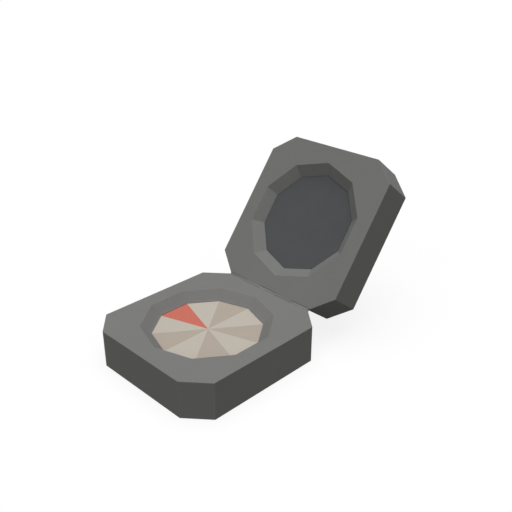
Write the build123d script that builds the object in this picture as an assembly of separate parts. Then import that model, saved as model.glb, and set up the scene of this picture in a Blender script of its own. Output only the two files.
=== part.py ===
from build123d import *
import os
from math import cos, hypot, radians, sin, tan

# Pocket qibla compass, all lengths in millimetres.
# Origin at the centre of the base's underside, X along the hinge, Y towards the hinge, Z up.
# The lid stands open on its stop, and the card's red sector points to -X.

# Case outline, shared by the base and the lid
CASE_WIDTH = 60.0
CASE_DEPTH = 63.0
CORNER_CUT_X = 9.0
CORNER_CUT_Y = 7.7
BASE_HEIGHT = 14.8
LID_HEIGHT = 14.8
WALL = 2.4
FACE_PLATE = 2.4
EDGE_BREAK = 0.12

# Ten-sided well, the same in the base and in the lid
WELL_SIDES = 10
WELL_RIM_RADIUS = 24.7
WELL_FOOT_RADIUS = 20.6
WELL_DEPTH = 3.4

# Covers let into the underside of the base and the back of the lid
COVER_THICKNESS = 2.0
COVER_RIM = 1.2
COVER_FIT = 0.1

# Crystal bonded into the well, above the lip that frames the card
CRYSTAL_THICKNESS = 0.6
CRYSTAL_FIT = 0.05
LIP_LAND = 0.06

# Compass cup in its collar, between a gasket and rubber cushions
GASKET_HEIGHT = 0.5
CUP_WALL = 1.2
CUP_FLOOR = 1.2
CUP_FIT = 0.1
COLLAR_WALL = 3.8
CUSHION_COUNT = 4
CUSHION_HEIGHT = 1.4
CUSHION_WIDTH = 3.0
CUSHION_LENGTH = 7.0
CUSHION_INSET = 1.0

# Card: a disc with sectors laid on it
CARD_HEADROOM = 0.14
CARD_OVERLAP = 1.8
CARD_CLEARANCE = 0.5
CARD_THICKNESS = 0.5
SECTOR_THICKNESS = 0.25
MAGNET_LENGTH = 18.0
MAGNET_SIDE = 2.0
MAGNET_GAP = 0.4

# Hub, jewel and pivot
HUB_NOSE_RADIUS = 1.6
HUB_CROWN = 0.3
HUB_RADIUS = 2.8
HUB_LENGTH = 1.6
HUB_GAP = 1.0
JEWEL_RADIUS = 0.9
JEWEL_HEIGHT = 1.2
JEWEL_CONE_RADIUS = 0.7
JEWEL_CONE_DEPTH = 0.9
PIVOT_RADIUS = 0.5
PIVOT_TIP_LENGTH = 0.9
PIVOT_GAP = 0.05
PIVOT_BOSS_RADIUS = 2.0

# Countersunk screws, their hexagonal inserts and bosses
SCREW_RADIUS = 1.0
SCREW_LENGTH = 5.0
SCREW_HEAD_RADIUS = 1.9
SCREW_HEAD_HEIGHT = 0.95
SCREW_SOCKET_RADIUS = 0.75
SCREW_SOCKET_DEPTH = 0.7
SCREW_HOLE_CLEARANCE = 0.1
SCREW_INSET = 4.75
INSERT_RADIUS = 1.8
INSERT_LENGTH = 4.0
BOSS_WALL = 1.2
BOSS_RELIEF = 0.6
HOLD_FIT = 0.02

# Mirror in the lid's recess
MIRROR_THICKNESS = 1.5
MIRROR_FIT = 0.1
PAD_THICKNESS = 0.3
PAD_INSET = 1.0
RECESS_FLOOR = 1.8
RECESS_WALL = 1.8

# Snap hooks of the lid's cover, two in each side wall
HOOK_SPREAD = 24.0
HOOK_WIDTH = 6.0
HOOK_THICKNESS = 1.2
HOOK_LENGTH = 5.0
HOOK_GAP = 0.15
BARB_REACH = 0.7
BARB_HEIGHT = 1.4
BARB_FIT = 0.1

# Knuckle hinge in the parting plane, with stop heels
HINGE_PIN_RADIUS = 0.25
HINGE_SEGMENTS = 5
HINGE_SIDE_GAP = 0.15
HINGE_RUN_FIT = 0.05
KNUCKLE_WALL = 0.3
KNUCKLE_FOOT = 2.5
SLOT_CLEARANCE = 0.1
PARTING_GAP = 0.1
OPEN_ANGLE = 127.5
STOP_GAP = 0.1
HEEL_LENGTH = 5.0
HEEL_TIP = 1.0
HEEL_TOP = 8.5

# Heights of the stack in the base, from the top face down and from the cover up
FOOT_Z = BASE_HEIGHT - WELL_DEPTH
LIP_Z = FOOT_Z - LIP_LAND
CUP_TOP_Z = LIP_Z - GASKET_HEIGHT
CARD_TOP_Z = LIP_Z - CARD_HEADROOM
DECK_Z = CARD_TOP_Z - SECTOR_THICKNESS
DISC_Z = DECK_Z - CARD_THICKNESS
HUB_Z = DISC_Z - HUB_LENGTH
PIVOT_BOSS_Z = HUB_Z - HUB_GAP
JEWEL_Z = DECK_Z - HUB_CROWN - JEWEL_HEIGHT
CUP_Z = COVER_THICKNESS + CUSHION_HEIGHT
CUP_FLOOR_Z = CUP_Z + CUP_FLOOR

# Radii of the stack, from the well's foot outwards
CARD_RADIUS = WELL_FOOT_RADIUS + CARD_OVERLAP
CUP_INNER_RADIUS = CARD_RADIUS + CARD_CLEARANCE
CUP_RADIUS = CUP_INNER_RADIUS + CUP_WALL
COLLAR_BORE = CUP_RADIUS + CUP_FIT
COLLAR_RADIUS = COLLAR_BORE + COLLAR_WALL
CUSHION_RADIUS = CUP_RADIUS - CUSHION_INSET - CUSHION_WIDTH / 2
BOSS_RADIUS = INSERT_RADIUS + BOSS_WALL

# Hinge axis: along the back face, midway between the base and the lid
HINGE_LENGTH = CASE_WIDTH - 2 * CORNER_CUT_X
HINGE_Y = CASE_DEPTH / 2
HINGE_Z = BASE_HEIGHT + PARTING_GAP / 2
KNUCKLE_RADIUS = HINGE_PIN_RADIUS + HINGE_RUN_FIT + KNUCKLE_WALL
SEGMENT_LENGTH = (HINGE_LENGTH - (HINGE_SEGMENTS - 1) * HINGE_SIDE_GAP) / HINGE_SEGMENTS
KNUCKLE_SEGMENTS = range(0, HINGE_SEGMENTS, 2)
LUG_SEGMENTS = range(1, HINGE_SEGMENTS, 2)

# Heights in the lid as it lies closed, from its inner face up
LID_Z = BASE_HEIGHT + PARTING_GAP
LID_FOOT_Z = LID_Z + WELL_DEPTH
MIRROR_BACK_Z = LID_FOOT_Z + MIRROR_THICKNESS
POCKET_Z = MIRROR_BACK_Z + PAD_THICKNESS
RECESS_BACK_Z = POCKET_Z + RECESS_FLOOR
LID_COVER_Z = LID_Z + LID_HEIGHT - COVER_THICKNESS
HOOK_X = CASE_WIDTH / 2 - WALL - HOOK_GAP
HOOK_Z = LID_COVER_Z - HOOK_LENGTH

# Slope of the well's corners, and the distance to a flat as a share of the distance to a corner
WELL_SLOPE = (WELL_RIM_RADIUS - WELL_FOOT_RADIUS) / WELL_DEPTH
FLAT_SHARE = cos(radians(180 / WELL_SIDES))

# The card's ten sectors, by the angle of each one's middle
SECTOR_ANGLE = 360 / WELL_SIDES
RED_ANGLE = 180
LIGHT_ANGLES = [0, 72, 144, 216, 288]
DARK_ANGLES = [36, 108, 252, 324]


def ring(outer, inner, z, height):
    """Flat ring about the Z axis, standing on height z."""
    return Pos(0, 0, z) * extrude(Circle(outer) - Circle(inner), height)


def disc(radius, z, height):
    """Flat disc about the Z axis, standing on height z."""
    return Pos(0, 0, z) * extrude(Circle(radius), height)


def case_outline(inset=0.0):
    """The case's cut-corner outline, drawn in by inset."""
    x = CASE_WIDTH / 2
    y = CASE_DEPTH / 2
    cut_x = x - CORNER_CUT_X
    cut_y = y - CORNER_CUT_Y
    outline = Polygon(
        (x, -cut_y), (x, cut_y), (cut_x, y), (-cut_x, y),
        (-x, cut_y), (-x, -cut_y), (-cut_x, -y), (cut_x, -y),
        align=None,
    )
    return offset(outline, -inset, kind=Kind.INTERSECTION) if inset else outline


def case_slab(inset, z, height):
    """Plate or hollow of the case's outline, drawn in by inset, standing on height z."""
    return Pos(0, 0, z) * extrude(case_outline(inset), height)


def case_block(z, height, hinge_side):
    """Outer block of the base or the lid, its edges broken except the one beside the hinge."""
    block = case_slab(0, z, height)
    level = -1 if hinge_side == "top" else 0
    hinge_edges = block.edges().group_by(Axis.Y)[-1].group_by(Axis.Z)[level]
    broken = [edge for edge in block.edges() if edge not in hinge_edges]
    return chamfer(broken, EDGE_BREAK)


def decagon(radius):
    """Outline of the well at one height: a corner towards the hinge, flats to the sides."""
    return RegularPolygon(radius, WELL_SIDES, rotation=SECTOR_ANGLE / 2)


def decagon_frustum(low_radius, low_z, high_radius, high_z):
    """Ten-sided solid that slopes from one outline to another."""
    low = Pos(0, 0, low_z) * decagon(low_radius)
    high = Pos(0, 0, high_z) * decagon(high_radius)
    return loft([low, high], ruled=True)


def decagon_plate(radius, z, height):
    """Ten-sided plate or pocket standing on height z."""
    return Pos(0, 0, z) * extrude(decagon(radius), height)


def corner_places():
    """Centres of the case's screws, square in from the middle of each corner facet."""
    facet = hypot(CORNER_CUT_X, CORNER_CUT_Y)
    x = (CASE_WIDTH - CORNER_CUT_X) / 2 - SCREW_INSET * CORNER_CUT_Y / facet
    y = (CASE_DEPTH - CORNER_CUT_Y) / 2 - SCREW_INSET * CORNER_CUT_X / facet
    return GridLocations(2 * x, 2 * y, 2, 2)


def insert_outline(fit=0.0):
    """Hexagon of a threaded insert, grown by fit."""
    return RegularPolygon(INSERT_RADIUS + fit, 6)


def screw(head_z):
    """Countersunk screw, its head's face on height head_z and its tip above."""
    neck_z = head_z + SCREW_HEAD_HEIGHT
    head = Pos(0, 0, head_z) * Cone(
        SCREW_HEAD_RADIUS, SCREW_RADIUS, SCREW_HEAD_HEIGHT, align=(Align.CENTER, Align.CENTER, Align.MIN)
    )
    shank = disc(SCREW_RADIUS, neck_z, SCREW_LENGTH - SCREW_HEAD_HEIGHT)
    socket = Pos(0, 0, head_z) * extrude(RegularPolygon(SCREW_SOCKET_RADIUS, 6), SCREW_SOCKET_DEPTH)
    return head + shank - socket


def screw_hole(face_z, height):
    """Clearance hole through a plate whose outer face is on face_z, countersunk there."""
    head = Pos(0, 0, face_z) * Cone(
        SCREW_HEAD_RADIUS + SCREW_HOLE_CLEARANCE,
        SCREW_RADIUS + SCREW_HOLE_CLEARANCE,
        SCREW_HEAD_HEIGHT,
        align=(Align.CENTER, Align.CENTER, Align.MIN),
    )
    return head + disc(SCREW_RADIUS + SCREW_HOLE_CLEARANCE, face_z, height)


def hinge_segment(index):
    """Left end of one hinge segment on X, counted from the left."""
    return -HINGE_LENGTH / 2 + index * (SEGMENT_LENGTH + HINGE_SIDE_GAP)


def along_hinge(profile, start_x, length):
    """Profile drawn in Y and Z about the hinge axis, extruded along X."""
    plane = Plane((start_x, HINGE_Y, HINGE_Z), x_dir=(0, 1, 0), z_dir=(1, 0, 0))
    return extrude(plane * profile, length)


def hinge_bore(fit):
    """Bore for the hinge pin, through all the knuckles and lugs."""
    return along_hinge(Circle(HINGE_PIN_RADIUS + fit), -HINGE_LENGTH / 2, HINGE_LENGTH)


def open_wedge(side):
    """Room between the inner faces at the stop: above the base with side 1, under the shut lid with -1."""
    angle = radians(180 - OPEN_ANGLE)
    gap = PARTING_GAP / 2
    reach = 2 * KNUCKLE_RADIUS
    apex = gap * tan(angle / 2)
    corners = [
        (apex, -gap),
        (apex + reach * cos(angle), reach * sin(angle) - gap),
        (-reach, reach),
        (-reach, -gap),
    ]
    return Polygon(*[(y, side * z) for y, z in corners[::side]], align=None)


def knuckle_profile():
    """Base knuckle about the hinge axis: open barrel and the foot that ties it to the back wall."""
    foot = Polygon(
        (0, 0),
        (-KNUCKLE_RADIUS, -KNUCKLE_FOOT),
        (0, -KNUCKLE_FOOT),
        (KNUCKLE_RADIUS, 0),
        align=None,
    )
    return Circle(KNUCKLE_RADIUS) + foot - open_wedge(1)


def lug_profile():
    """Lid lug about the hinge axis as it lies closed: open barrel, web and the heel that stops the lid."""
    angle = radians(OPEN_ANGLE)
    foot = Vector(cos(angle), sin(angle)) * STOP_GAP
    tip = foot + Vector(sin(angle), -cos(angle)) * HEEL_LENGTH
    web = Polygon(
        (foot.X, foot.Y),
        (tip.X, tip.Y),
        (tip.X, tip.Y + HEEL_TIP),
        (0, HEEL_TOP),
        (-KNUCKLE_RADIUS, HEEL_TOP),
        align=None,
    )
    return Circle(KNUCKLE_RADIUS) + web - open_wedge(-1)


def hinge_slot(index):
    """Room in one half's back edge for the other half's barrel."""
    outline = Circle(KNUCKLE_RADIUS + SLOT_CLEARANCE)
    return along_hinge(outline, hinge_segment(index) - HINGE_SIDE_GAP, SEGMENT_LENGTH + 2 * HINGE_SIDE_GAP)


def make_base_case():
    """Moulded base: block, well, cup collar, corner bosses and hinge knuckles."""
    body = case_block(0, BASE_HEIGHT, "top")
    hollow_top = BASE_HEIGHT - FACE_PLATE
    hollow = case_slab(WALL, COVER_THICKNESS, hollow_top - COVER_THICKNESS)
    hollow -= decagon_plate(COLLAR_RADIUS / FLAT_SHARE, 0, BASE_HEIGHT)
    for place in corner_places():
        hollow -= place * disc(BOSS_RADIUS, 0, BASE_HEIGHT)
    body -= hollow
    body -= case_slab(COVER_RIM, 0, COVER_THICKNESS)
    body -= decagon_frustum(WELL_FOOT_RADIUS, FOOT_Z, WELL_RIM_RADIUS, BASE_HEIGHT)
    body -= decagon_plate(WELL_FOOT_RADIUS, LIP_Z, LIP_LAND)
    body -= disc(COLLAR_BORE, 0, LIP_Z)
    socket = Pos(0, 0, COVER_THICKNESS) * extrude(insert_outline(HOLD_FIT), INSERT_LENGTH + BOSS_RELIEF)
    for place in corner_places():
        body -= place * socket
    for index in LUG_SEGMENTS:
        body -= hinge_slot(index)
    for index in KNUCKLE_SEGMENTS:
        body += along_hinge(knuckle_profile(), hinge_segment(index), SEGMENT_LENGTH)
    return body - hinge_bore(HOLD_FIT)


def make_bottom_cover():
    """Flat cover in the underside, with countersunk holes for its screws."""
    cover = case_slab(COVER_RIM + COVER_FIT, 0, COVER_THICKNESS)
    for place in corner_places():
        cover -= place * screw_hole(0, COVER_THICKNESS)
    return cover


def make_cover_screws():
    """Four screws that hold the bottom cover, heads flush with the underside."""
    return [place * screw(0) for place in corner_places()]


def make_threaded_inserts():
    """Four hexagonal brass inserts in the corner bosses, standing on the cover."""
    outline = insert_outline() - Circle(SCREW_RADIUS + HOLD_FIT)
    insert = Pos(0, 0, COVER_THICKNESS) * extrude(outline, INSERT_LENGTH)
    return [place * insert for place in corner_places()]


def make_cup_gasket():
    """Rubber ring on the cup's rim, pressed against the underside of the lip."""
    return ring(CUP_RADIUS, CUP_INNER_RADIUS, CUP_TOP_Z, GASKET_HEIGHT)


def make_crystal():
    """Clear ten-sided window wedged between the well's walls, over the card."""
    low_radius = WELL_FOOT_RADIUS - CRYSTAL_FIT
    high_radius = low_radius + WELL_SLOPE * CRYSTAL_THICKNESS
    return decagon_frustum(low_radius, FOOT_Z, high_radius, FOOT_Z + CRYSTAL_THICKNESS)


def make_compass_cup():
    """Brass bowl with a boss for the pivot."""
    cup = disc(CUP_RADIUS, CUP_Z, CUP_TOP_Z - CUP_Z)
    cup -= disc(CUP_INNER_RADIUS, CUP_FLOOR_Z, CUP_TOP_Z - CUP_FLOOR_Z)
    cup += disc(PIVOT_BOSS_RADIUS, CUP_FLOOR_Z, PIVOT_BOSS_Z - CUP_FLOOR_Z)
    return cup - disc(PIVOT_RADIUS + HOLD_FIT, CUP_Z, PIVOT_BOSS_Z - CUP_Z)


def make_cup_cushions():
    """Four rubber blocks on the cover that press the cup and its gasket up to the lip."""
    block = Box(CUSHION_WIDTH, CUSHION_LENGTH, CUSHION_HEIGHT, align=(Align.CENTER, Align.CENTER, Align.MIN))
    places = PolarLocations(CUSHION_RADIUS, CUSHION_COUNT)
    return [place * Pos(0, 0, COVER_THICKNESS) * block for place in places]


def make_pivot_pin():
    """Steel pin with a pointed tip just short of the jewel's cone."""
    tip_z = JEWEL_Z + JEWEL_CONE_DEPTH - PIVOT_GAP
    profile = Polygon(
        (0, CUP_Z),
        (PIVOT_RADIUS, CUP_Z),
        (PIVOT_RADIUS, tip_z - PIVOT_TIP_LENGTH),
        (0, tip_z),
        align=None,
    )
    return revolve(Plane.XZ * profile, Axis.Z)


def make_hinge_pin():
    """Steel pin held in all the open knuckles and lugs."""
    return along_hinge(Circle(HINGE_PIN_RADIUS), -HINGE_LENGTH / 2, HINGE_LENGTH)


def make_card_disc():
    """Thin disc that carries the sectors, the hub and the magnets."""
    return ring(CARD_RADIUS, HUB_NOSE_RADIUS + HOLD_FIT, DISC_Z, CARD_THICKNESS)


def sector(angle):
    """One sector of the card, from the centre to the rim."""
    rim = CenterArc((0, 0), CARD_RADIUS, angle - SECTOR_ANGLE / 2, SECTOR_ANGLE)
    outline = Curve() + [Line((0, 0), rim @ 0), rim, Line(rim @ 1, (0, 0))]
    return Pos(0, 0, DECK_Z) * extrude(make_face(outline), SECTOR_THICKNESS)


def make_light_sectors():
    """Pale sectors."""
    return [sector(angle) for angle in LIGHT_ANGLES]


def make_dark_sectors():
    """Sand-coloured sectors between the pale ones."""
    return [sector(angle) for angle in DARK_ANGLES]


def make_red_sector():
    """The red sector that shows the direction."""
    return sector(RED_ANGLE)


def make_card_hub():
    """Brass hub: a nose in the disc and a body under it, bored for the jewel."""
    hub = disc(HUB_NOSE_RADIUS, DISC_Z, CARD_THICKNESS)
    hub += disc(HUB_RADIUS, HUB_Z, HUB_LENGTH)
    return hub - disc(JEWEL_RADIUS + HOLD_FIT, HUB_Z, JEWEL_Z + JEWEL_HEIGHT - HUB_Z)


def make_hub_jewel():
    """Hard cup bearing at the top of the hub's bore, with a cone for the pivot's tip."""
    profile = Polygon(
        (0, JEWEL_Z + JEWEL_HEIGHT),
        (JEWEL_RADIUS, JEWEL_Z + JEWEL_HEIGHT),
        (JEWEL_RADIUS, JEWEL_Z),
        (JEWEL_CONE_RADIUS, JEWEL_Z),
        (0, JEWEL_Z + JEWEL_CONE_DEPTH),
        align=None,
    )
    return revolve(Plane.XZ * profile, Axis.Z)


def make_bar_magnets():
    """Two bars under the disc, one each side of the hub, along the red sector."""
    reach = HUB_RADIUS + MAGNET_GAP + MAGNET_SIDE / 2
    bar = Pos(0, 0, DISC_Z - MAGNET_SIDE / 2) * Box(MAGNET_LENGTH, MAGNET_SIDE, MAGNET_SIDE)
    return [Pos(0, side * reach, 0) * bar for side in (-1, 1)]


def recess_radius():
    """Corner radius of the recess's wall inside the lid, where it leaves the face plate."""
    inside = max(WELL_FOOT_RADIUS, WELL_RIM_RADIUS - WELL_SLOPE * FACE_PLATE)
    return inside + RECESS_WALL / FLAT_SHARE


def hook_places():
    """Places of the right-hand hooks, and of the left-hand ones half a turn round."""
    right = [Pos(0, side * HOOK_SPREAD / 2, 0) for side in (-1, 1)]
    return right + [Rot(0, 0, 180) * place for place in right]


def snap_hook():
    """Arm under the lid's cover beside the right-hand wall, its barb outwards."""
    profile = Polygon(
        (HOOK_X, LID_COVER_Z),
        (HOOK_X, HOOK_Z + BARB_HEIGHT),
        (HOOK_X + BARB_REACH, HOOK_Z + BARB_HEIGHT),
        (HOOK_X + BARB_REACH, HOOK_Z + BARB_REACH),
        (HOOK_X, HOOK_Z),
        (HOOK_X - HOOK_THICKNESS, HOOK_Z),
        (HOOK_X - HOOK_THICKNESS, LID_COVER_Z),
        align=None,
    )
    return extrude(Plane.XZ * profile, HOOK_WIDTH / 2, both=True)


def hook_catch():
    """Hollow in the right-hand wall that a hook's barb springs into."""
    reach = BARB_REACH + BARB_FIT
    width = HOOK_WIDTH + 2 * BARB_FIT
    height = BARB_HEIGHT + 2 * BARB_FIT
    block = Box(reach, width, height, align=(Align.MIN, Align.CENTER, Align.MIN))
    return Pos(HOOK_X, 0, HOOK_Z - BARB_FIT) * block


def make_lid_shell():
    """Moulded lid as it lies closed: block, recess, mirror pocket, hollow back and hinge lugs."""
    body = case_block(LID_Z, LID_HEIGHT, "bottom")
    hollow = case_slab(WALL, LID_Z + FACE_PLATE, LID_COVER_Z - LID_Z - FACE_PLATE)
    hollow -= decagon_plate(recess_radius(), LID_Z, RECESS_BACK_Z - LID_Z)
    for place in hook_places():
        hollow += place * hook_catch()
    body -= hollow
    body -= case_slab(COVER_RIM, LID_COVER_Z, COVER_THICKNESS)
    body -= decagon_frustum(WELL_RIM_RADIUS, LID_Z, WELL_FOOT_RADIUS, LID_FOOT_Z)
    body -= decagon_plate(WELL_FOOT_RADIUS, LID_FOOT_Z, POCKET_Z - LID_FOOT_Z)
    for index in KNUCKLE_SEGMENTS:
        body -= hinge_slot(index)
    for index in LUG_SEGMENTS:
        body += along_hinge(lug_profile(), hinge_segment(index), SEGMENT_LENGTH)
    return body - hinge_bore(HINGE_RUN_FIT)


def make_lid_cover():
    """Outer plate of the lid, held by its snap hooks."""
    cover = case_slab(COVER_RIM + COVER_FIT, LID_COVER_Z, COVER_THICKNESS)
    for place in hook_places():
        cover += place * snap_hook()
    return cover


def make_lid_mirror():
    """Dark panel at the foot of the lid's recess."""
    return decagon_plate(WELL_FOOT_RADIUS - MIRROR_FIT, LID_FOOT_Z, MIRROR_THICKNESS)


def make_mirror_pad():
    """Adhesive sheet that holds the mirror."""
    return decagon_plate(WELL_FOOT_RADIUS - PAD_INSET, MIRROR_BACK_Z, PAD_THICKNESS)


def opened(piece):
    """A piece of the lid, turned from closed to its stop."""
    return piece.rotate(Axis((0, HINGE_Y, HINGE_Z), (1, 0, 0)), -OPEN_ANGLE)


def write(node, made, place=None):
    """Writes one node, a solid or a group of alike solids, where it belongs."""
    pieces = made if isinstance(made, list) else [made]
    solids = [solid for piece in pieces for solid in (place(piece) if place else piece).solids()]
    shape = solids[0] if len(solids) == 1 else Compound(label=node, children=solids)
    export_step(shape, f"parts/{node}.step")


os.makedirs("parts", exist_ok=True)

write("base_case", make_base_case())
write("bottom_cover", make_bottom_cover())
write("cover_screws", make_cover_screws())
write("threaded_inserts", make_threaded_inserts())
write("crystal", make_crystal())
write("cup_gasket", make_cup_gasket())
write("compass_cup", make_compass_cup())
write("cup_cushions", make_cup_cushions())
write("pivot_pin", make_pivot_pin())
write("hinge_pin", make_hinge_pin())

write("card_disc", make_card_disc())
write("light_sectors", make_light_sectors())
write("dark_sectors", make_dark_sectors())
write("red_sector", make_red_sector())
write("card_hub", make_card_hub())
write("hub_jewel", make_hub_jewel())
write("bar_magnets", make_bar_magnets())

write("lid_shell", make_lid_shell(), opened)
write("lid_cover", make_lid_cover(), opened)
write("lid_mirror", make_lid_mirror(), opened)
write("mirror_pad", make_mirror_pad(), opened)
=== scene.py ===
import math

import bpy
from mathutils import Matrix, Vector


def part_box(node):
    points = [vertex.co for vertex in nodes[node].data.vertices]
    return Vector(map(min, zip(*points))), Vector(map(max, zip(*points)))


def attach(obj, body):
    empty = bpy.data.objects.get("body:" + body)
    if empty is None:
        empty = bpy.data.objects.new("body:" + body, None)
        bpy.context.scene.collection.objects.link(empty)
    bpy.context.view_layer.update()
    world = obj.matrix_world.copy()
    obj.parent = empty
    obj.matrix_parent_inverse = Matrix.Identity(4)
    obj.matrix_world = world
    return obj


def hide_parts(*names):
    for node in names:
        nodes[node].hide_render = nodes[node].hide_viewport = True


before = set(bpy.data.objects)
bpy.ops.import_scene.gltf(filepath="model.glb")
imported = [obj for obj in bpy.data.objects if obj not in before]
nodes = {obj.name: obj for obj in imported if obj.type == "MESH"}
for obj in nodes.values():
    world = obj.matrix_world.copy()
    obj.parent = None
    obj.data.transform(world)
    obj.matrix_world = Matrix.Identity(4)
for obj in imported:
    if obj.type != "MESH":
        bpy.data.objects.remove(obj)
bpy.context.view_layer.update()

mm = 0.001


# a node's output that can be added, multiplied and so on
class Value:
    def __init__(self, sheet, socket):
        self.sheet = sheet
        self.socket = socket

    def __add__(self, other):
        return self.sheet.work("ADD", self, other)

    def __radd__(self, other):
        return self.sheet.work("ADD", other, self)

    def __sub__(self, other):
        return self.sheet.work("SUBTRACT", self, other)

    def __rsub__(self, other):
        return self.sheet.work("SUBTRACT", other, self)

    def __mul__(self, other):
        return self.sheet.work("MULTIPLY", self, other)

    def __rmul__(self, other):
        return self.sheet.work("MULTIPLY", other, self)

    def __truediv__(self, other):
        return self.sheet.work("DIVIDE", self, other)

    def __rtruediv__(self, other):
        return self.sheet.work("DIVIDE", other, self)

    def __abs__(self):
        return self.sheet.work("ABSOLUTE", self)

    def atMost(self, other):
        return self.sheet.work("MINIMUM", self, other)

    def atLeast(self, other):
        return self.sheet.work("MAXIMUM", self, other)

    # a pattern from 0 to 1, made to swing about 0
    def swing(self, reach):
        return (self - 0.5) * reach


# one node tree being filled, for a material, the world or a shape
class Sheet:
    def __init__(self, tree):
        self.tree = tree
        tree.nodes.clear()

    # a list goes to a socket that takes several links
    def node(self, kind, settings=None, inputs=None, out=0):
        made = self.tree.nodes.new(kind)
        for key, value in (settings or {}).items():
            setattr(made, key, value)
        for key, value in (inputs or {}).items():
            for one in value if isinstance(value, list) else [value]:
                if isinstance(one, Value):
                    self.tree.links.new(one.socket, made.inputs[key])
                else:
                    made.inputs[key].default_value = one
        return Value(self, made.outputs[out]) if made.outputs else None

    def work(self, operation, *terms):
        return self.node("ShaderNodeMath", {"operation": operation}, dict(enumerate(terms)))

    # object coordinates in millimetres
    def point(self):
        place = self.node("ShaderNodeTexCoord", out="Object")
        return self.node("ShaderNodeVectorMath", {"operation": "SCALE"},
                         {0: place, "Scale": 1 / mm})

    def axes(self, point):
        return [self.node("ShaderNodeSeparateXYZ", None, {0: point}, out=axis) for axis in range(3)]

    def stretch(self, point, factors):
        return self.node("ShaderNodeVectorMath", {"operation": "MULTIPLY"}, {0: point, 1: factors})

    # cloudy pattern whose marks are about size mm across, from 0 to 1
    def cloud(self, point, size, detail, roughness):
        sizes = {"Vector": point, "Scale": 1 / size, "Detail": detail, "Roughness": roughness}
        return self.node("ShaderNodeTexNoise", None, sizes)

    # distance to the nearest of many scattered spots, about size mm apart
    def spots(self, point, size, feature="F1"):
        return self.node("ShaderNodeTexVoronoi", {"feature": feature},
                         {"Vector": point, "Scale": 1 / size})

    # soft step between two ends: from 0 to 1, or the other way round
    def fade(self, value, ends, start=0.0, end=1.0):
        limits = {"Value": value, 1: ends[0], 2: ends[1], 3: start, 4: end}
        return self.node("ShaderNodeMapRange", {"interpolation_type": "SMOOTHSTEP"}, limits)

    def blend(self, share, first, second):
        ends = {0: share, 6: first, 7: second}
        return self.node("ShaderNodeMix", {"data_type": "RGBA"}, ends, out=2)

    # a darker and a lighter shade of one tone
    def shade(self, share, tone, factors):
        return self.blend(share, tint(tone, factors[0]), tint(tone, factors[1]))

    def bump(self, height, looks):
        return self.node("ShaderNodeBump", None,
                         {"Height": height, "Distance": looks["bumpDepth"] * mm,
                          "Strength": looks["bumpStrength"]})

    def surface(self, **sockets):
        names = {key.replace("_", " "): value for key, value in sockets.items()}
        shader = self.node("ShaderNodeBsdfPrincipled", None, names)
        self.node("ShaderNodeOutputMaterial", None, {"Surface": shader})


def startFinish(name):
    material = bpy.data.materials.new(name)
    material.use_nodes = True
    return material, Sheet(material.node_tree)


def tint(colour, factor=1.0):
    return (colour[0] * factor, colour[1] * factor, colour[2] * factor, 1.0)


# moulded case: outline in mm as it lies closed, then its looks
# a cloudy pattern is given by its size in mm, detail and roughness, here and below
case = {
    "halfWidth": 30.0,
    "halfDepth": 31.5,
    "cutX": 9.0,
    "cutY": 7.7,
    "baseTop": 14.8,
    "lidLow": 14.9,
    "lidHigh": 29.7,
    "rimFlat": 23.491,             # from the middle to a flat of the well's rim
    "rimTurns": (36, 72),          # flats of the rim in one quarter, past the one on x
    "hinge": (0.0, 31.5, 14.85),
    "openAngle": 127.5,
    "tone": (0.197, 0.197, 0.191),
    "cloud": (17.0, 3.0, 0.55),
    "cloudShades": (0.93, 1.07),
    "speck": (0.3, 2.0, 0.6),
    "speckShades": (0.76, 1.24),
    "speckShare": 0.5,
    "wornTone": (0.262, 0.260, 0.252),
    "wornEdge": (0.06, 0.42),      # mm from an edge: fully worn, not worn
    "wornPatches": (0.3, 0.65),    # where the cloud lets wear show
    "wornShare": 0.2,
    "chip": (1.1, 3.0, 0.6),
    "chipReach": 0.5,
    "roughness": 0.58,
    "cloudRough": 0.2,
    "speckRough": 0.12,
    "wornGloss": 0.14,
    "pebbleSize": 0.42,
    "speckHeight": 0.5,
    "bumpDepth": 0.03,
    "bumpStrength": 0.5,
    "specular": 0.01,
}


# distance in mm to the nearest outer edge or to the well's rim
def edgeDistance(sheet, point, low, high, rimHeight):
    x, y, z = sheet.axes(point)
    ax = abs(x)
    ay = abs(y)
    facet = math.hypot(case["cutX"], case["cutY"])
    reach = case["cutY"] * case["halfWidth"] + case["cutX"] * (case["halfDepth"] - case["cutY"])
    side = case["halfWidth"] - ax
    front = case["halfDepth"] - ay
    corner = (reach - ax * case["cutY"] - ay * case["cutX"]) / facet
    # two faces meet at an edge, so the second nearest face gives the distance
    nearest = side.atMost(front)
    second = side.atLeast(front)
    for face in (corner, z - low, high - z):
        second = second.atMost(nearest.atLeast(face))
        nearest = nearest.atMost(face)
    out = ax
    for angle in case["rimTurns"]:
        turn = math.radians(angle)
        out = out.atLeast(ax * math.cos(turn) + ay * math.sin(turn))
    rim = abs(out - case["rimFlat"]) + abs(z - rimHeight)
    return second.atMost(rim)


# the open lid's coordinates, turned back to where it lies closed
def closedPoint(sheet, point):
    turn = math.radians(case["openAngle"])
    hinge = Vector(case["hinge"])
    moved = Vector((0.0, hinge.y * math.cos(turn) - hinge.z * math.sin(turn),
                    hinge.y * math.sin(turn) + hinge.z * math.cos(turn)))
    return sheet.node("ShaderNodeMapping", None,
                      {"Vector": point, "Location": hinge - moved, "Rotation": (turn, 0.0, 0.0)})


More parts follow.
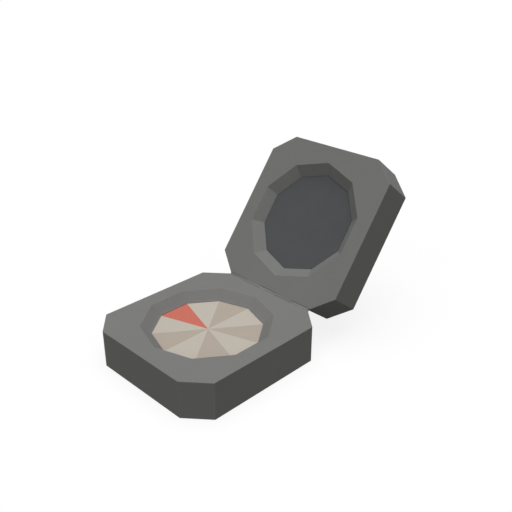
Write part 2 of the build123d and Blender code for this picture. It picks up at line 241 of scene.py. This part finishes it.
def casePlastic(name, low, high, rimHeight, opened):
    material, sheet = startFinish(name)
    point = sheet.point()
    if opened:
        point = closedPoint(sheet, point)
    cloud = sheet.cloud(point, *case["cloud"])
    speck = sheet.cloud(point, *case["speck"])
    chip = sheet.cloud(point, *case["chip"])
    edge = edgeDistance(sheet, point, low, high, rimHeight) + chip.swing(case["chipReach"])
    worn = sheet.fade(edge, case["wornEdge"], 1.0, 0.0) * sheet.fade(cloud, case["wornPatches"])
    colour = sheet.blend(case["speckShare"],
                         sheet.shade(cloud, case["tone"], case["cloudShades"]),
                         sheet.shade(speck, case["tone"], case["speckShades"]))
    colour = sheet.blend(worn * case["wornShare"], colour, tint(case["wornTone"]))
    rough = case["roughness"] + cloud.swing(case["cloudRough"]) + speck.swing(case["speckRough"])
    rough = rough - worn * case["wornGloss"]
    height = sheet.spots(point, case["pebbleSize"], "SMOOTH_F1") + speck * case["speckHeight"]
    sheet.surface(Base_Color=colour, Roughness=rough, Normal=sheet.bump(height, case),
                  Specular_IOR_Level=case["specular"])
    return material


# printed sectors of the card
dial = {
    "light": (0.511, 0.465, 0.402),
    "dark": (0.430, 0.371, 0.312),
    "red": (0.570, 0.153, 0.109),
    "mottle": (3.4, 4.0, 0.6),
    "mottleShades": (0.955, 1.045),
    "fibre": (0.22, 3.0, 0.5),
    "fibreStretch": 6.0,
    "fibreShades": (0.78, 1.16),
    "fibreShare": 0.5,
    "roughness": 0.72,
    "fibreRough": 0.2,
    "bumpDepth": 0.012,
    "bumpStrength": 0.4,
    "specular": 0.05,
}


def printedPaper(name, tone):
    material, sheet = startFinish(name)
    point = sheet.point()
    thin = 1 / dial["fibreStretch"]
    along = sheet.cloud(sheet.stretch(point, (thin, 1.0, 1.0)), *dial["fibre"])
    across = sheet.cloud(sheet.stretch(point, (1.0, thin, 1.0)), *dial["fibre"])
    fibre = along.atLeast(across)
    mottle = sheet.cloud(point, *dial["mottle"])
    colour = sheet.blend(dial["fibreShare"],
                         sheet.shade(mottle, tone, dial["mottleShades"]),
                         sheet.shade(fibre, tone, dial["fibreShades"]))
    rough = dial["roughness"] + fibre.swing(dial["fibreRough"])
    sheet.surface(Base_Color=colour, Roughness=rough, Normal=sheet.bump(fibre, dial),
                  Specular_IOR_Level=dial["specular"])
    return material


# dark panel in the lid's recess, with smudges, wipe marks and a little dust
panel = {
    "tone": (0.0763, 0.0806, 0.0846),
    "smudge": (7.0, 4.0, 0.62),
    "smudgeShades": (0.93, 1.08),
    "smudgeEdge": (0.35, 0.7),
    "wipe": (0.5, 2.0, 0.5),
    "wipeStretch": (0.25, 1.0, 1.0),
    "dustTone": (0.5, 0.49, 0.46),
    "dustSize": 1.9,
    "dustEdge": (0.03, 0.075),
    "dustShare": 0.12,
    "roughness": 0.34,
    "smudgeRough": 0.12,
    "wipeRough": 0.06,
    "bumpDepth": 0.01,
    "bumpStrength": 0.1,
    "specular": 0.15,
}


def smokedPanel(name):
    material, sheet = startFinish(name)
    point = sheet.point()
    smudge = sheet.cloud(point, *panel["smudge"])
    wipe = sheet.cloud(sheet.stretch(point, panel["wipeStretch"]), *panel["wipe"])
    dust = sheet.fade(sheet.spots(point, panel["dustSize"]), panel["dustEdge"], 1.0, 0.0)
    colour = sheet.shade(smudge, panel["tone"], panel["smudgeShades"])
    colour = sheet.blend(dust * panel["dustShare"], colour, tint(panel["dustTone"]))
    rough = panel["roughness"] + sheet.fade(smudge, panel["smudgeEdge"]) * panel["smudgeRough"]
    rough = rough + wipe.swing(panel["wipeRough"])
    sheet.surface(Base_Color=colour, Roughness=rough, Normal=sheet.bump(smudge, panel),
                  Specular_IOR_Level=panel["specular"])
    return material


# bare and coated metals: tone, roughness, stretch of the brushing on each axis
metals = {
    "cover": {"tone": (0.16, 0.16, 0.155), "roughness": 0.42, "grain": (0.06, 3.2, 3.2)},
    "pin": {"tone": (0.5, 0.5, 0.51), "roughness": 0.3, "grain": (0.1, 4.0, 4.0)},
    "hinge": {"tone": (0.2, 0.2, 0.195), "roughness": 0.46, "grain": (0.1, 4.0, 4.0)},
    "brass": {"tone": (0.68, 0.5, 0.2), "roughness": 0.32, "grain": (1.4, 1.4, 0.2)},
    "magnet": {"tone": (0.36, 0.36, 0.37), "roughness": 0.4, "grain": (0.12, 2.6, 2.6)},
}

# brushing that the metals share: fine hairs, broader streaks and a cloud
brush = {
    "hair": (1.0, 3.0, 0.6),
    "hairEdge": (0.3, 0.7),
    "hairShades": (0.7, 1.28),
    "streak": (1.0, 3.0, 0.7),
    "streakWidth": 0.3,
    "streakEdge": (0.36, 0.64),
    "streakShades": (0.82, 1.18),
    "streakShare": 0.5,
    "cloud": (9.0, 3.0, 0.5),
    "hairRough": 0.24,
    "streakRough": 0.08,
    "cloudRough": 0.14,
    "bumpDepth": 0.008,
    "bumpStrength": 0.35,
}


def brushedMetal(name, looks):
    material, sheet = startFinish(name)
    point = sheet.point()
    broad = tuple(brush["streakWidth"] * factor for factor in looks["grain"])
    hair = sheet.cloud(sheet.stretch(point, looks["grain"]), *brush["hair"])
    hair = sheet.fade(hair, brush["hairEdge"])
    streak = sheet.cloud(sheet.stretch(point, broad), *brush["streak"])
    streak = sheet.fade(streak, brush["streakEdge"])
    cloud = sheet.cloud(point, *brush["cloud"])
    colour = sheet.blend(brush["streakShare"],
                         sheet.shade(hair, looks["tone"], brush["hairShades"]),
                         sheet.shade(streak, looks["tone"], brush["streakShades"]))
    rough = looks["roughness"] + hair.swing(brush["hairRough"])
    rough = rough + streak.swing(brush["streakRough"]) + cloud.swing(brush["cloudRough"])
    sheet.surface(Base_Color=colour, Metallic=1.0, Roughness=rough, Normal=sheet.bump(hair, brush))
    return material


rubber = {
    "tone": (0.024, 0.024, 0.024),
    "bloomTone": (0.04, 0.039, 0.037),
    "bloom": (4.0, 3.0, 0.5),
    "fine": (0.25, 3.0, 0.65),
    "roughness": 0.78,
    "fineRough": 0.2,
    "bumpDepth": 0.02,
    "bumpStrength": 0.5,
    "specular": 0.3,
}


def softRubber(name):
    material, sheet = startFinish(name)
    point = sheet.point()
    fine = sheet.cloud(point, *rubber["fine"])
    bloom = sheet.cloud(point, *rubber["bloom"])
    colour = sheet.blend(bloom, tint(rubber["tone"]), tint(rubber["bloomTone"]))
    rough = rubber["roughness"] + fine.swing(rubber["fineRough"])
    sheet.surface(Base_Color=colour, Roughness=rough, Normal=sheet.bump(fine, rubber),
                  Specular_IOR_Level=rubber["specular"])
    return material


# window over the card, so clear that only a trace of it shows
crystal = {
    "tone": (0.90, 0.91, 0.92),
    "cleanTone": (0.96, 0.97, 0.98),
    "smear": (6.0, 4.0, 0.6),
    "smearEdge": (0.4, 0.75),
    "roughness": 0.04,
    "smearRough": 0.08,
    "veil": 0.01,
}


def clearCrystal(name):
    material, sheet = startFinish(name)
    smear = sheet.cloud(sheet.point(), *crystal["smear"])
    colour = sheet.blend(smear, tint(crystal["tone"]), tint(crystal["cleanTone"]))
    rough = crystal["roughness"] + sheet.fade(smear, crystal["smearEdge"]) * crystal["smearRough"]
    sheet.surface(Base_Color=colour, Roughness=rough, Alpha=crystal["veil"])
    return material


# disc under the printed sectors
board = {
    "tone": (0.48, 0.43, 0.37),
    "fine": (0.4, 4.0, 0.6),
    "fineShades": (0.9, 1.08),
    "roughness": 0.6,
    "fineRough": 0.2,
    "bumpDepth": 0.01,
    "bumpStrength": 0.4,
}


def cardBoard(name):
    material, sheet = startFinish(name)
    fine = sheet.cloud(sheet.point(), *board["fine"])
    colour = sheet.shade(fine, board["tone"], board["fineShades"])
    rough = board["roughness"] + fine.swing(board["fineRough"])
    sheet.surface(Base_Color=colour, Roughness=rough, Normal=sheet.bump(fine, board))
    return material


# polished bearing in the card's hub
jewel = {
    "tone": (0.42, 0.045, 0.07),
    "paleTone": (0.58, 0.08, 0.11),
    "depth": (0.5, 3.0, 0.5),
    "roughness": 0.08,
    "depthRough": 0.06,
    "coat": 0.6,
}


def hardJewel(name):
    material, sheet = startFinish(name)
    depth = sheet.cloud(sheet.point(), *jewel["depth"])
    colour = sheet.blend(depth, tint(jewel["tone"]), tint(jewel["paleTone"]))
    rough = jewel["roughness"] + depth * jewel["depthRough"]
    sheet.surface(Base_Color=colour, Roughness=rough, Coat_Weight=jewel["coat"])
    return material


def dress(material, *names):
    for name in names:
        for slot in nodes[name].material_slots:
            slot.material = material


basePlastic = casePlastic("mouldedCase", 0.0, case["baseTop"], case["baseTop"], False)
lidPlastic = casePlastic("mouldedLid", case["lidLow"], case["lidHigh"], case["lidLow"], True)
dress(basePlastic, "base_case")
dress(lidPlastic, "lid_shell", "lid_cover")
dress(brushedMetal("brushedCover", metals["cover"]), "bottom_cover")
dress(brushedMetal("drawnPin", metals["pin"]), "pivot_pin")
dress(brushedMetal("blackenedPin", metals["hinge"]), "hinge_pin")
dress(brushedMetal("turnedBrass", metals["brass"]), "threaded_inserts", "compass_cup", "card_hub")
dress(brushedMetal("platedMagnet", metals["magnet"]), "bar_magnets")
dress(softRubber("softRubber"), "cup_gasket", "cup_cushions", "mirror_pad")
dress(clearCrystal("clearCrystal"), "crystal")
dress(cardBoard("cardBoard"), "card_disc")
dress(printedPaper("palePrint", dial["light"]), "light_sectors")
dress(printedPaper("sandPrint", dial["dark"]), "dark_sectors")
dress(printedPaper("redPrint", dial["red"]), "red_sector")
dress(hardJewel("hardJewel"), "hub_jewel")
dress(smokedPanel("smokedPanel"), "lid_mirror")
print("finishes:", len(bpy.data.materials))


# a Geometry Nodes tree with named sizes
class Recipe(Sheet):
    def __init__(self, name, sizes):
        super().__init__(bpy.data.node_groups.new(name, "GeometryNodeTree"))
        self.keys = {}
        for key, value in sizes.items():
            kind = "NodeSocketInt" if isinstance(value, int) else "NodeSocketFloat"
            socket = self.tree.interface.new_socket(key, in_out="INPUT", socket_type=kind)
            self.keys[key] = socket.identifier
        self.tree.interface.new_socket("Geometry", in_out="OUTPUT",
                                       socket_type="NodeSocketGeometry")
        self.given = self.tree.nodes.new("NodeGroupInput")

    def size(self, key):
        return Value(self, self.given.outputs[key])

    def vector(self, x=0.0, y=0.0, z=0.0):
        return self.node("ShaderNodeCombineXYZ", None, {0: x, 1: y, 2: z})

    def compare(self, operation, first, second):
        return self.node("FunctionNodeCompare", {"operation": operation}, {0: first, 1: second})

    def join(self, *pieces):
        return self.node("GeometryNodeJoinGeometry", None, {"Geometry": list(pieces)})

    def lift(self, geometry, height):
        return self.node("GeometryNodeTransform", None,
                         {"Geometry": geometry, "Translation": self.vector(z=height)})


# turned screws: sizes in mm, then their looks
screw = {
    "cadHead": 1.9,                # radius of the solid's head, for the spacing
    "headRadius": 1.86,
    "headEdge": 0.05,
    "headLand": 0.1,
    "headHeight": 0.95,
    "rootRadius": 0.8,
    "crestRadius": 0.98,
    "pitch": 0.4,
    "length": 5.0,
    "tipLead": 0.2,
    "socketRadius": 0.75,
    "socketDepth": 0.7,
    "socketLead": 0.08,
    "socketSides": 6,
    "columns": 48,                 # a multiple of the socket's sides, which keeps its corners sharp
    "threadSteps": 24,
    "ridgeSides": 4,
    "weld": 0.001,
    "sharpAngle": 28,
    "seed": 11,
    "tone": (0.45, 0.45, 0.46),
    "cloud": (0.8, 3.0, 0.5),
    "cloudShades": (0.8, 1.12),
    "ringPitch": 0.13,
    "ringShade": 0.82,
    "roughness": 0.27,
    "cloudRough": 0.24,
    "ringRough": 0.06,
    "bumpDepth": 0.006,
    "bumpStrength": 0.5,
}


# fine rings about each screw's own axis
def turnedSteel(name):
    material, sheet = startFinish(name)
    own = sheet.node("ShaderNodeAttribute", {"attribute_name": "ownPlace"}, out="Vector")
    flat = sheet.stretch(own, (1.0, 1.0, 0.0))
    away = sheet.node("ShaderNodeVectorMath", {"operation": "LENGTH"}, {0: flat}, out="Value")
    rings = sheet.work("SINE", away * (2 * math.pi / screw["ringPitch"]))
    cloud = sheet.cloud(sheet.point(), *screw["cloud"])
    colour = sheet.shade(cloud, screw["tone"], screw["cloudShades"])
    colour = sheet.blend(0.5 + rings * 0.5, colour, tint(screw["tone"], screw["ringShade"]))
    rough = screw["roughness"] + cloud.swing(screw["cloudRough"]) + rings * screw["ringRough"]
    sheet.surface(Base_Color=colour, Metallic=1.0, Roughness=rough, Normal=sheet.bump(rings, screw))
    return material


# one band of the screw's skin, between two places given by height and radius
def screwBand(recipe, low, high):
    side = recipe.node("GeometryNodeMeshCone", {"fill_type": "NONE"},
                       {"Vertices": screw["columns"], "Radius Bottom": low[1],
                        "Radius Top": high[1], "Depth": high[0] - low[0]}, out="Mesh")
    return recipe.lift(side, low[0])


def screwCap(recipe, height, radius):
    disc = recipe.node("GeometryNodeMeshCircle", {"fill_type": "TRIANGLE_FAN"},
                       {"Vertices": screw["columns"], "Radius": radius}, out="Mesh")
    return recipe.lift(disc, height)


# round socket drawn in to a hexagon, so its lead-in runs deeper on the flats than at the corners
def screwSocket(recipe, mouth):
    radius = recipe.size("Socket Radius")
    depth = recipe.size("Socket Depth")
    lead = recipe.size("Socket Lead")
    socket = recipe.join(screwBand(recipe, (0.0, mouth), (lead, radius)),
                         screwBand(recipe, (lead, radius), (depth, radius)),
                         screwCap(recipe, depth, radius))
    x, y, z = recipe.axes(recipe.node("GeometryNodeInputPosition"))
    halfFlat = math.pi / screw["socketSides"]
    fromCorner = recipe.work("PINGPONG", recipe.work("ARCTAN2", y, x), halfFlat)
    share = math.cos(halfFlat) / recipe.work("COSINE", halfFlat - fromCorner)
    inner = recipe.compare("LESS_THAN", recipe.work("SQRT", x * x + y * y), mouth - lead * 0.5)
    atMouth = recipe.work("LESS_THAN", z, depth * 0.5)
    moved = recipe.vector(x * share, y * share, z + radius * (1.0 - share) * atMouth)
    socket = recipe.node("GeometryNodeSetPosition", None,
                         {"Geometry": socket, "Selection": inner, "Position": moved})
    return recipe.node("GeometryNodeFlipFaces", None, {"Mesh": socket})


# socket, face of the head, its broken edge, land and countersink, then the shank and its tip
def screwSkin(recipe):
    size = recipe.size
    mouth = size("Socket Radius") + size("Socket Lead")
    tipRadius = size("Root Radius") - size("Tip Lead")
    profile = [
        (0.0, mouth),
        (0.0, size("Head Radius") - size("Head Edge")),
        (size("Head Edge"), size("Head Radius")),
        (size("Head Land"), size("Head Radius")),
        (size("Head Height"), size("Root Radius")),
        (size("Length") - size("Tip Lead"), size("Root Radius")),
        (size("Length"), tipRadius),
    ]
    pieces = [screwSocket(recipe, mouth), screwCap(recipe, size("Length"), tipRadius)]
    for low, high in zip(profile, profile[1:]):
        pieces.append(screwBand(recipe, low, high))
    return recipe.node("GeometryNodeMergeByDistance", None,
                       {"Geometry": recipe.join(*pieces), "Distance": screw["weld"]})


# ridge wound round the shank, sunk into it by half
def screwThread(recipe):
    pitch = recipe.size("Pitch")
    root = recipe.size("Root Radius")
    start = recipe.size("Head Height") + pitch
    length = recipe.size("Length") - pitch - start
    path = recipe.node("GeometryNodeCurveSpiral", None,
                       {"Resolution": screw["threadSteps"], "Rotations": length / pitch,
                        "Start Radius": root, "End Radius": root, "Height": length})
    ridge = recipe.node("GeometryNodeCurvePrimitiveCircle", None,
                        {"Resolution": screw["ridgeSides"],
                         "Radius": recipe.size("Crest Radius") - root})
    thread = recipe.node("GeometryNodeCurveToMesh", None,
                         {"Curve": path, "Profile Curve": ridge, "Fill Caps": True})
    return recipe.lift(thread, start)


# one screw at each corner of the underside, each turned its own way
def placeScrews(recipe, whole, steel):
    size = recipe.size
    corners = recipe.node("GeometryNodeMeshGrid", None,
                          {"Size X": size("Spread X"), "Size Y": size("Spread Y"),
                           "Vertices X": 2, "Vertices Y": 2}, out="Mesh")
    turn = recipe.node("FunctionNodeRandomValue", {"data_type": "FLOAT"},
                       {2: 0.0, 3: 2 * math.pi / screw["socketSides"], "Seed": size("Seed")}, out=1)
    placed = recipe.node("GeometryNodeInstanceOnPoints", None,
                         {"Points": corners, "Instance": whole, "Rotation": recipe.vector(z=turn)})
    placed = recipe.node("GeometryNodeTransform", None,
                         {"Geometry": placed, "Scale": size("Unit")})
    placed = recipe.node("GeometryNodeRealizeInstances", None, {"Geometry": placed})
    placed = recipe.node("GeometryNodeSetMaterial", None, {"Geometry": placed, "Material": steel})
    recipe.node("NodeGroupOutput", None, {"Geometry": placed})


# the tree's result as a plain mesh
def bakeMesh(recipe, sizes, name):
    holder = bpy.data.objects.new(name + "Holder", bpy.data.meshes.new(name + "Holder"))
    bpy.context.scene.collection.objects.link(holder)
    modifier = holder.modifiers.new(name, "NODES")
    modifier.node_group = recipe.tree
    for key, value in sizes.items():
        modifier[recipe.keys[key]] = value
    evaluated = holder.evaluated_get(bpy.context.evaluated_depsgraph_get())
    mesh = bpy.data.meshes.new_from_object(evaluated)
    bpy.data.objects.remove(holder)
    mesh.name = name
    return mesh


# countersunk screws with a thread and a hexagonal socket, in the underside
def makeCoverScrews():
    low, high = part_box("cover_screws")
    sizes = {
        "Spread X": (high.x - low.x) / mm - 2 * screw["cadHead"],
        "Spread Y": (high.y - low.y) / mm - 2 * screw["cadHead"],
        "Head Radius": screw["headRadius"],
        "Head Edge": screw["headEdge"],
        "Head Land": screw["headLand"],
        "Head Height": screw["headHeight"],
        "Root Radius": screw["rootRadius"],
        "Crest Radius": screw["crestRadius"],
        "Pitch": screw["pitch"],
        "Length": screw["length"],
        "Tip Lead": screw["tipLead"],
        "Socket Radius": screw["socketRadius"],
        "Socket Depth": screw["socketDepth"],
        "Socket Lead": screw["socketLead"],
        "Unit": mm,
        "Seed": screw["seed"],
    }
    recipe = Recipe("coverScrewSet", sizes)
    whole = recipe.join(screwSkin(recipe), screwThread(recipe))
    # place on the screw itself, for the turning marks
    place = recipe.node("GeometryNodeInputPosition")
    whole = recipe.node("GeometryNodeStoreNamedAttribute",
                        {"data_type": "FLOAT_VECTOR", "domain": "POINT"},
                        {"Geometry": whole, "Name": "ownPlace", "Value": place})
    angle = recipe.node("GeometryNodeInputMeshEdgeAngle", out="Unsigned Angle")
    sharp = recipe.compare("GREATER_THAN", angle, math.radians(screw["sharpAngle"]))
    whole = recipe.node("GeometryNodeSetShadeSmooth", {"domain": "EDGE"},
                        {"Geometry": whole, "Selection": sharp, "Shade Smooth": False})
    placeScrews(recipe, whole, turnedSteel("turnedSteel"))

    mesh = bakeMesh(recipe, sizes, "coverScrewsTurned")
    piece = bpy.data.objects.new("coverScrewsTurned", mesh)
    bpy.context.scene.collection.objects.link(piece)
    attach(piece, "base")
    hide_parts("cover_screws")
    print("cover screws:", len(mesh.polygons), "faces")


makeCoverScrews()


# soft light from overhead, a pale floor and a white surround
studio = {
    "sky": (0.155, 0.155, 0.155),
    "white": (1.0, 1.0, 1.0),
    "lamps": [
        {"name": "overheadLamp", "power": 2.28, "spread": 60.0, "from": (0.0, 0.0, 1.0)},
        {"name": "rightLamp", "power": 0.382, "spread": 60.0, "from": (0.8, 0.0, 0.6)},
        {"name": "frontLamp", "power": 0.507, "spread": 60.0, "from": (0.0, -0.9, 0.4)},
    ],
    "floorBounce": (0.129, 0.130, 0.112),
    "floorShade": 0.15,            # how strongly the shadow shows
    "floorSize": 8.0,              # metres
    "floorDrop": 0.05,             # mm below the underside
}


# 1 where the camera, a reflection or a clear piece looks, 0 for light bounced off the floor
def seenDirectly(sheet):
    rays = ("Is Camera Ray", "Is Glossy Ray", "Is Transmission Ray")
    camera, glossy, through = [sheet.node("ShaderNodeLightPath", out=ray) for ray in rays]
    return camera.atLeast(glossy).atLeast(through)


def makeSurround():
    world = bpy.data.worlds.new("studioSurround")
    world.use_nodes = True
    bpy.context.scene.world = world
    sheet = Sheet(world.node_tree)
    surround = sheet.blend(seenDirectly(sheet), tint(studio["sky"]), tint(studio["white"]))
    glow = sheet.node("ShaderNodeBackground", None, {"Color": surround, "Strength": 1.0})
    sheet.node("ShaderNodeOutputWorld", None, {"Surface": glow})


def makeLamps():
    for looks in studio["lamps"]:
        lamp = bpy.data.lights.new(looks["name"], "SUN")
        lamp.energy = looks["power"]
        lamp.angle = math.radians(looks["spread"])
        lampObject = bpy.data.objects.new(looks["name"], lamp)
        lampObject.rotation_euler = Vector(looks["from"]).to_track_quat("Z", "Y").to_euler()
        bpy.context.scene.collection.objects.link(lampObject)


# white with a faint shadow where it is seen, darker in the light it throws, clear from below
def floorFinish(name):
    material, sheet = startFinish(name)
    shade = studio["floorShade"]
    matt = sheet.node("ShaderNodeBsdfDiffuse", None, {"Color": tint(studio["white"], shade)})
    glow = sheet.node("ShaderNodeEmission", None, {"Strength": 1.0 - shade})
    shown = sheet.node("ShaderNodeAddShader", None, {0: matt, 1: glow})
    bounce = sheet.node("ShaderNodeEmission", None,
                        {"Color": tint(studio["floorBounce"]), "Strength": 1.0})
    top = sheet.node("ShaderNodeMixShader", None, {0: seenDirectly(sheet), 1: bounce, 2: shown})
    under = sheet.node("ShaderNodeBsdfTransparent")
    below = sheet.node("ShaderNodeNewGeometry", out="Backfacing")
    both = sheet.node("ShaderNodeMixShader", None, {0: below, 1: top, 2: under})
    sheet.node("ShaderNodeOutputMaterial", None, {"Surface": both})
    material.cycles.emission_sampling = "NONE"
    return material


def makeFloor():
    half = studio["floorSize"] / 2
    drop = -studio["floorDrop"] * mm
    corners = [(-half, -half, drop), (half, -half, drop), (half, half, drop), (-half, half, drop)]
    mesh = bpy.data.meshes.new("paleFloor")
    mesh.from_pydata(corners, [], [(0, 1, 2, 3)])
    mesh.materials.append(floorFinish("paleFloor"))
    floor = bpy.data.objects.new("paleFloor", mesh)
    bpy.context.scene.collection.objects.link(floor)


makeSurround()
makeLamps()
makeFloor()
bpy.context.scene.view_settings.view_transform = "Standard"
print("studio:", len(studio["lamps"]), "lamps, surround and floor")


# the photograph's viewpoint, in metres and millimetres of lens
view = {
    "place": (0.17012, -0.14515, 0.15174),
    "aim": (0.0, 0.02501, 0.03241),
    "lens": 50.0,
    "sensor": 36.0,
    "clipStart": 0.005,
}


def makeCamera():
    camera = bpy.data.cameras.new("photoCamera")
    camera.lens = view["lens"]
    camera.sensor_width = view["sensor"]
    camera.clip_start = view["clipStart"]
    cameraObject = bpy.data.objects.new("photoCamera", camera)
    cameraObject.location = view["place"]
    look = Vector(view["aim"]) - Vector(view["place"])
    cameraObject.rotation_euler = look.to_track_quat("-Z", "Y").to_euler()
    bpy.context.scene.collection.objects.link(cameraObject)
    bpy.context.scene.camera = cameraObject
    print("camera:", [round(x, 4) for x in cameraObject.location])


makeCamera()
